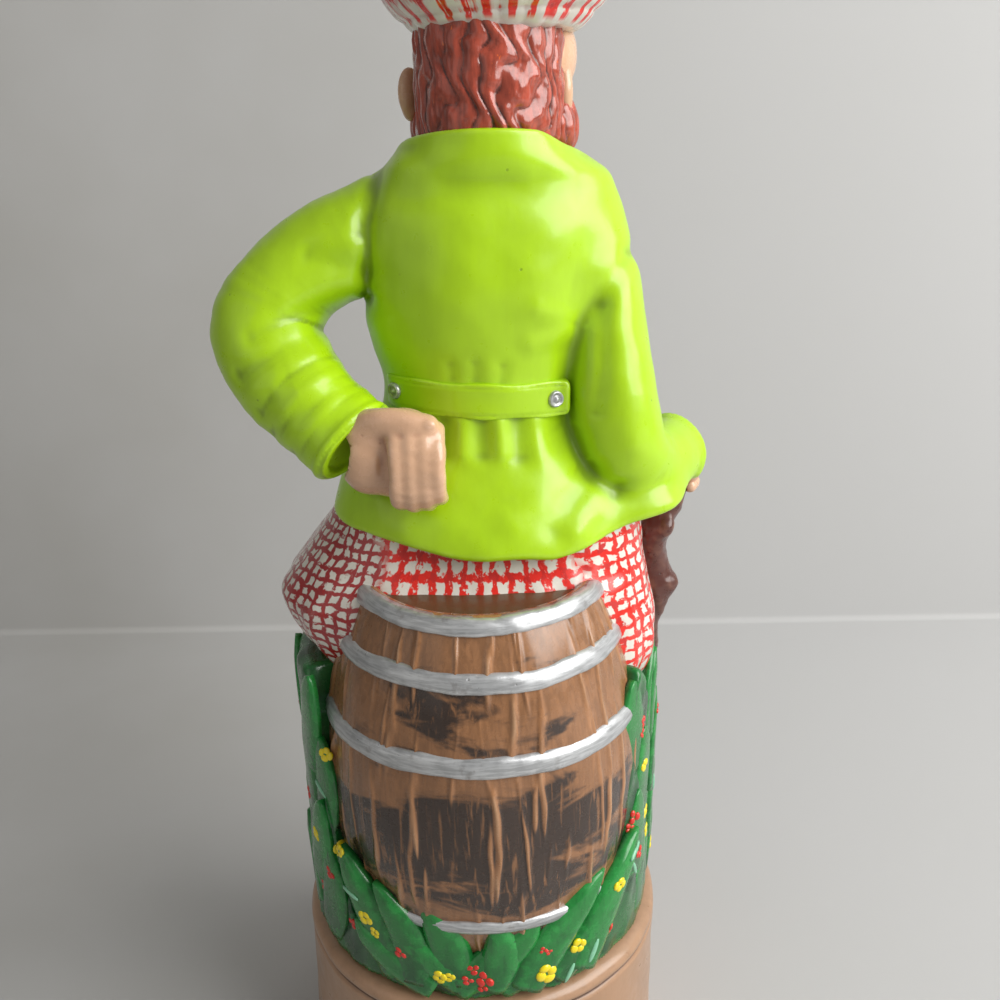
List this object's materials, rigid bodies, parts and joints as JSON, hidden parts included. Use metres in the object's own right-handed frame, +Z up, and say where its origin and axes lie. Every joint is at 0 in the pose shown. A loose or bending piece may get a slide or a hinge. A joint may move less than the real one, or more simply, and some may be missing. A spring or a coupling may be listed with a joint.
{
  "type": "figural decanter",
  "caption": "Hand-painted ceramic decanter: a seated figure in a green jacket and checked kilt on a barrel and round plinth; the head with its hat lifts out as the stopper.",
  "frame": {"origin": "centre of the plinth's foot, on the surface it stands on", "axes": "+Z up along the stopper's lift; the figure faces +Y, and -Y is its back, as pictured"},
  "size_m": [0.1496, 0.124, 0.3731],
  "materials": {
    "plinth_glaze": "satin tan-brown paint",
    "barrel_glaze": "brown paint with dark dry-brushed grain",
    "lid_glaze": "dark brown paint",
    "silver_paint": "brushed silver paint",
    "grass_glaze": "green paint with flower dabs",
    "leaf_glaze": "mid-green paint",
    "tartan_glaze": "white paint with a red hand-painted check",
    "jacket_glaze": "semi-gloss lime-green paint",
    "skin_glaze": "satin flesh paint",
    "hair_glaze": "glossy brick-red paint",
    "stick_glaze": "glossy dark-brown paint",
    "shirt_glaze": "white paint",
    "black_glaze": "glossy black paint",
    "fur_glaze": "off-white paint",
    "hose_glaze": "off-white and red paint",
    "eye_glaze": "white and dark paint",
    "bisque": "unglazed inside",
    "cork_bark": "natural cork"
  },
  "bodies": {
    "decanter": {"plinth": "plinth_glaze", "barrel_staves": "barrel_glaze", "barrel_head": "lid_glaze", "walking_stick": "stick_glaze", "kilt": "tartan_glaze", "grass_bank": "grass_glaze", "foot_hoop": "silver_paint", "belly_hoop": "silver_paint", "shoulder_hoop": "silver_paint", "top_hoop": "silver_paint", "left_blades": "leaf_glaze", "right_blades": "leaf_glaze", "back_blades": "leaf_glaze", "jacket": "jacket_glaze", "neck_tube": "bisque", "collar": "jacket_glaze", "left_sleeve": "jacket_glaze", "right_sleeve": "jacket_glaze", "left_fist": "skin_glaze", "right_hand": "skin_glaze", "half_belt": "jacket_glaze", "belt_buttons": "silver_paint", "shirt_front": "shirt_glaze", "lapels": "jacket_glaze", "front_buttons": "silver_paint", "sporran": "fur_glaze", "knees": "skin_glaze", "hose": "hose_glaze", "shoes": "black_glaze"},
    "stopper": {"head": "skin_glaze", "eyes": "eye_glaze", "brows": "hair_glaze", "hair": "hair_glaze", "ears": "skin_glaze", "beard": "hair_glaze", "hat_band": "tartan_glaze", "hat_crown": "tartan_glaze", "pompom": "hair_glaze", "cork": "cork_bark"}
  },
  "joints": [
    {"name": "stopper_lift", "type": "slide", "parent": "decanter", "child": "stopper", "axis": [0, 0, 1], "range_m": [0, 0.055]}
  ]
}
